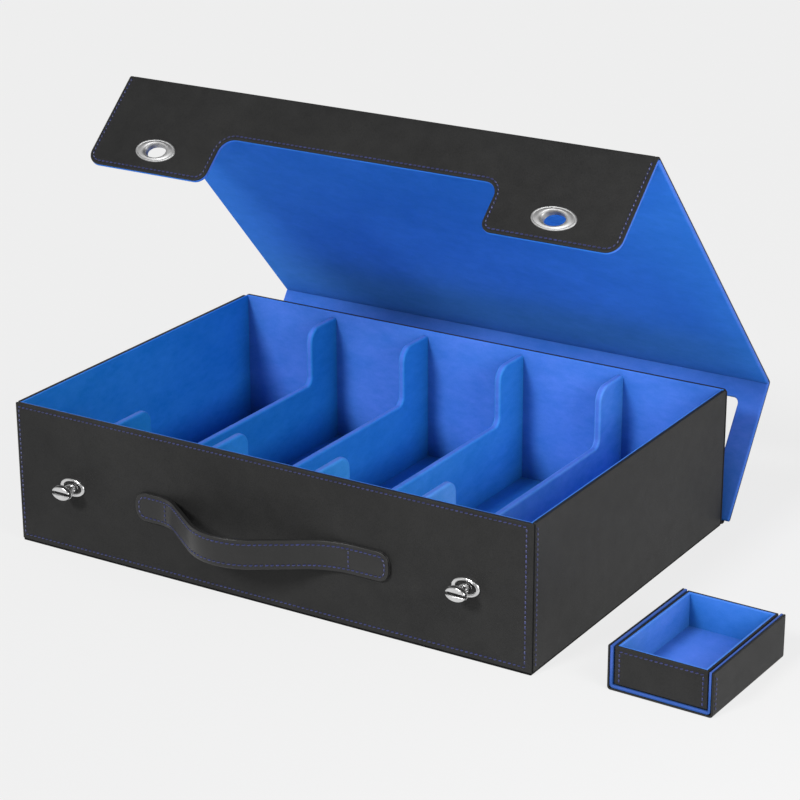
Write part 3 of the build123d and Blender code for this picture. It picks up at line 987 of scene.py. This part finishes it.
def eyelets():
    place = flat((0, FLAP_OUTER, 0), RIGHT, UP, TURN_TOP)
    for side, x in LOCKS:
        ring, washer = (shells(oval_rows(rings, x, LOCK_Z), closed=True) for rings in (EYELET, WASHER))
        piece(f"eyelet_{side}_ring", ring, place, "flap", SATIN, (f"eyelet_{side}",), sharp=50)
        piece(f"eyelet_{side}_inner_washer", washer, place, "flap", CHROME, (f"eyelet_washer_{side}",),
              sharp=50)


def turn_locks():
    for side, x in LOCKS:
        place, prefix = flat((x, -HALF_D, LOCK_Z), RIGHT, UP), f"turn_lock_{side}"
        base, shade_well = (shells(oval_rows(rings), closed=True) for rings in (BASE, SHADE_WELL))
        piece(f"{prefix}_base", base, place, "case", CHROME, (f"lock_base_{side}",), sharp=50)
        # The recess holds a near-black disc: painted shade
        piece(f"{prefix}_well", shade_well, place, "case", PAINTED_SHADE_METAL, sharp=50)
        # The groove's floor is near-black metal: painted shade
        piece(f"{prefix}_groove", shells(oval_rows(SHADED_GROOVE_FLOOR)), place, f"{side}_knob", PAINTED_SHADE_METAL, sharp=50)
        knob = merged(shells(oval_rows(HEAD_BACK)), lobe(1), lobe(-1))
        piece(f"{prefix}_knob", knob, place, f"{side}_knob", CHROME, (f"lock_knob_{side}",), sharp=40)


eyelets()
turn_locks()

# Carry handle, on a slightly softer line than its solids
STRAP_KNEES, STRAP_APEX, STRAP_BENDS = (-70.0, 54.0), (-12.5, 42.6), (30.0, 42.0, 60.0)
STRAP_FACE, STRAP_CROWN, STRAP_STITCH = 2.6, 0.55, 3.0
strap = Path([(-HANDLE_END, 0), (STRAP_KNEES[0], 0), STRAP_APEX, (STRAP_KNEES[1], 0), (HANDLE_END, 0)],
             STRAP_BENDS, side=-1)


def on_strap(v):
    p = strap.raised(v[0], v[2])
    return Vector((p.x, -HALF_D - p.y, HANDLE_Z + v[1]))


def crowned(v):
    """Lifts the strap's face towards its middle line."""
    on_face = v.z > STRAP_FACE - 0.3
    lift = STRAP_CROWN * max(0.0, 1 - (v.y / HANDLE_HALF) ** 2) if on_face else 0.0
    return Vector((v.x, v.y, v.z + lift))


def on_crown(v):
    return on_strap(crowned(Vector((v[0], v[1], v[2] + STRAP_FACE))))


def strap_outline(low, high):
    return box_loop(low, -HANDLE_HALF, high, HANDLE_HALF, HANDLE_CORNER)


def strap_sheet(low, high, profile):
    bm = to_bmesh(plate([strap_outline(low, high)], profile, spacing=5.0))
    for s in steps_between(low, high, 84)[1:-1]:
        cut(bm, s, axis=0)
    return bm


def carry_handle():
    face = [(0.35, 1.25), (0.1, 1.32), (0, 1.6)] + [(inset, 2.55 + height) for inset, height in bend(0.6)]
    face += [(2.3, 2.6), (2.7, 2.5), (3.3, 2.5), (3.7, 2.6), (4.3, 2.62)]
    back = [(0.3, 0.0), (0, 0.3), (0, 0.85), (0.15, 1.1), (0.4, 1.22)]
    piece("handle_strap_leather", strap_sheet(0, strap.length, face), on_strap, "case", STRAP,
          ("handle_strap",), shape=crowned)
    piece("handle_backing_leather", strap_sheet(0.1, strap.length - 0.1, back), on_strap, "case", STRAP,
          ("handle_backing",))
    seam = strap_outline(0, strap.length)(STRAP_STITCH)
    piece("handle_strap_stitching", stitches(seam, closed=True), on_crown, "case", STRAP_SEAM)
    for side, s in (("left", HANDLE_END - 72.0), ("right", strap.length - HANDLE_END + 68.0)):
        line = stitches([(s, -6.2), (s, 6.2)])
        piece(f"handle_{side}_cross_stitching", line, on_crown, "case", STRAP_SEAM)


carry_handle()


# Accessory box: a U-shaped cover, and the tray in it
COVER_X, COVER_Y = HALF_W + COVER_BESIDE + COVER_HALF_W, COVER_SETBACK + COVER_HALF_D - HALF_D
COVER_PLACE = Matrix.Translation((COVER_X, COVER_Y, 0)) @ Matrix.Rotation(math.radians(COVER_TURN), 4, "Z")
SEAM_FROM_RIM, SEAM_FROM_BEND = 3.2, 1.5


def in_cover(path):
    """Places a sheet's (across, along, height) on a U-shaped path in the cover's XZ plane."""
    def place(v):
        p = path.raised(v[1], v[2])
        return COVER_PLACE @ Vector((p.x, path.side * v[0], p.y))
    return place


def u_path(inset, radius, side):
    half = COVER_HALF_W - inset
    points = [(-half, COVER_HEIGHT), (-half, inset), (half, inset), (half, COVER_HEIGHT)]
    return Path(points, [radius, radius], side=side)


def cover_sheet(kind, look, path, depth, edge, nodes):
    outline = box_loop(-COVER_HALF_D, 0, COVER_HALF_D, path.length, 0.4)
    bends = path.bend_steps(0, 6) + path.bend_steps(1, 6)
    sheet = part_of(to_bmesh(plate([outline], edge_profile(depth, edge, heel=0.2))), None, None, bends)
    # Painted light: the cover's lining takes the lit colour all over, with a darker, more violet painted
    # tint
    lie = fabric_lie((1.0, 1.0, 1.0), (0.85, 0.53, 0.6), (0.85, 0.53, 0.6))
    piece(f"cover_{kind}", sheet, in_cover(path), "accessory_cover", look, nodes, lie=lie)


def accessory_cover():
    outside, lining = u_path(0, 2.2, 1), u_path(WALL, 0.6, -1)
    cover_sheet("leather", SKIN, outside, depth=1.3, edge=0.45, nodes=("cover_skin", "cover_board"))
    cover_sheet("suede", FABRIC, lining, depth=1.75, edge=0.9, nodes=("cover_lining",))
    (left_bend, _, _), (_, right_bend, _) = outside.marks
    front = SEAM_FROM_RIM - COVER_HALF_D
    for side, low, high in (("left", SEAM_FROM_RIM, left_bend - SEAM_FROM_BEND),
                            ("right", right_bend + SEAM_FROM_BEND, outside.length - SEAM_FROM_RIM)):
        line = stitches([(front, low), (front, high)])
        piece(f"cover_{side}_stitching", line, in_cover(outside), "accessory_cover", SEAM)


def accessory_tray():
    half_w, half_d, low = COVER_HALF_W - WALL - 0.8, COVER_HALF_D - 1.0, WALL + 0.3
    edge, gap = 0.5, 0.7
    under = half_d - edge - gap
    open_box("tray", "accessory_tray", half_w, half_d, low, COVER_HEIGHT, wall=2.9, turn_in=1.3, edge=edge,
             gap=gap, rear_low=low, under=(-under, under), matrix=COVER_PLACE,
             nodes={"front_leather": ("tray_skin", "tray_board"), "front_suede": ("tray_lining",)},
             corners={side: (SHEET_CORNER, SHEET_CORNER) for side in SIDES},
             # Painted light: a strong tint lightens the tray's side walls so they look as lit as its floor,
             # and the floor a little too
             lie=fabric_lie((0.75, 1.0, 1.0), (2.2, 1.33, 1.25), (0.8, 1.0, 1.0)),
             floor_lie=fabric_lie(ahead=(1.3, 1.0, 1.1)))
    side, top, bottom = half_w - SEAM_FROM_RIM, COVER_HEIGHT - SEAM_FROM_RIM, low + SEAM_FROM_BEND
    line = stitches([(-side, bottom), (-side, top), (side, top), (side, bottom)])
    place = flat((0, -half_d, 0), RIGHT, UP, COVER_PLACE)
    piece("tray_front_stitching", line, place, "accessory_tray", SEAM)


accessory_cover()
accessory_tray()

# Floor, light and camera, in metres
FLOOR_HALF, FLOOR_DROP = 30.0, 0.0002
CAMERA_AT = (0.87891, -1.38432, 0.71674)
CAMERA_FORWARD, CAMERA_RIGHT = (-0.49277, 0.79500, -0.35376), (0.85051, 0.52595, -0.00278)
IMAGE_PIXELS, FOCAL_PIXELS, SENSOR_WIDTH = 800, 2610.48, 36.0


def floor_paper():
    """Paper that glows where it is seen straight or in a reflection, but takes shadows."""
    material, tree, _ = new_material("floor_paper")
    rays = node(tree, "LightPath").outputs
    seen = rays["Is Camera Ray"]
    for other in ("Is Glossy Ray", "Is Transmission Ray"):
        seen = node(tree, "Math", {0: seen, 1: rays[other]}, operation="MAXIMUM").outputs[0]
    share = node(tree, "Math", {0: seen, 1: 0.88}, operation="MULTIPLY").outputs[0]
    paper = node(tree, "BsdfDiffuse", {"Color": (0.86, 0.86, 0.86, 1), "Roughness": 0.0})
    glow = node(tree, "Emission", {"Color": (1, 1, 1, 1), "Strength": 0.885})
    show(tree, node(tree, "MixShader", {0: share, 1: paper.outputs[0], 2: glow.outputs[0]}))
    return material


def pale_floor():
    corners = [(x * FLOOR_HALF, y * FLOOR_HALF, 0) for x, y in ((-1, -1), (1, -1), (1, 1), (-1, 1))]
    floor = mesh_object("floor", to_bmesh((corners, [(0, 1, 2, 3)])))
    floor.location.z = -FLOOR_DROP
    floor.data.materials.append(floor_paper())


def studio():
    """World, brighter low down than overhead."""
    world = bpy.data.worlds.new("studio")
    bpy.context.scene.world = world
    world.use_nodes = True
    tree = world.node_tree
    tree.nodes.clear()
    direction = node(tree, "TexCoord").outputs["Generated"]
    rise = node(tree, "SeparateXYZ", {0: direction}).outputs["Z"]
    sky = ramp(tree, rise, [(0.0, 0.75), (0.3, 0.5), (0.7, 0.18), (1.0, 0.15)])
    show(tree, node(tree, "Background", {"Color": sky, "Strength": 1.0}), "OutputWorld")


def lamp(name, kind, energy, towards):
    made = linked(name, bpy.data.lights.new(name, kind))
    made.data.energy = energy
    made.rotation_mode = "QUATERNION"
    made.rotation_quaternion = Vector(towards).to_track_quat("-Z", "Y")
    return made


def lights():
    """Soft sun from the front left, and a soft box right of the case."""
    key = lamp("key_light", "SUN", 2.42, towards=(0.28, 1.0, -0.8))
    key.data.angle = math.radians(14)
    box = lamp("side_box", "AREA", 4.0, towards=(-0.8, 0.36, -0.42))
    box.data.shape, box.data.size, box.data.size_y = "RECTANGLE", 0.4, 0.35
    box.location = (0.8, -0.36, 0.48)
    box.visible_camera = False


def photograph_camera():
    """Camera at the photograph's angle."""
    camera = linked("camera", bpy.data.cameras.new("camera"))
    camera.data.sensor_width = SENSOR_WIDTH
    camera.data.lens = FOCAL_PIXELS / IMAGE_PIXELS * SENSOR_WIDTH
    camera.data.clip_start, camera.data.clip_end = 0.05, 100.0
    forward, right = Vector(CAMERA_FORWARD).normalized(), Vector(CAMERA_RIGHT)
    right = (right - forward * right.dot(forward)).normalized()
    turn = Matrix((right, right.cross(forward), -forward)).transposed().to_4x4()
    camera.matrix_world = Matrix.Translation(CAMERA_AT) @ turn
    return camera


pale_floor()
studio()
lights()
bpy.context.scene.camera = photograph_camera()
bpy.context.scene.view_settings.view_transform = "Standard"
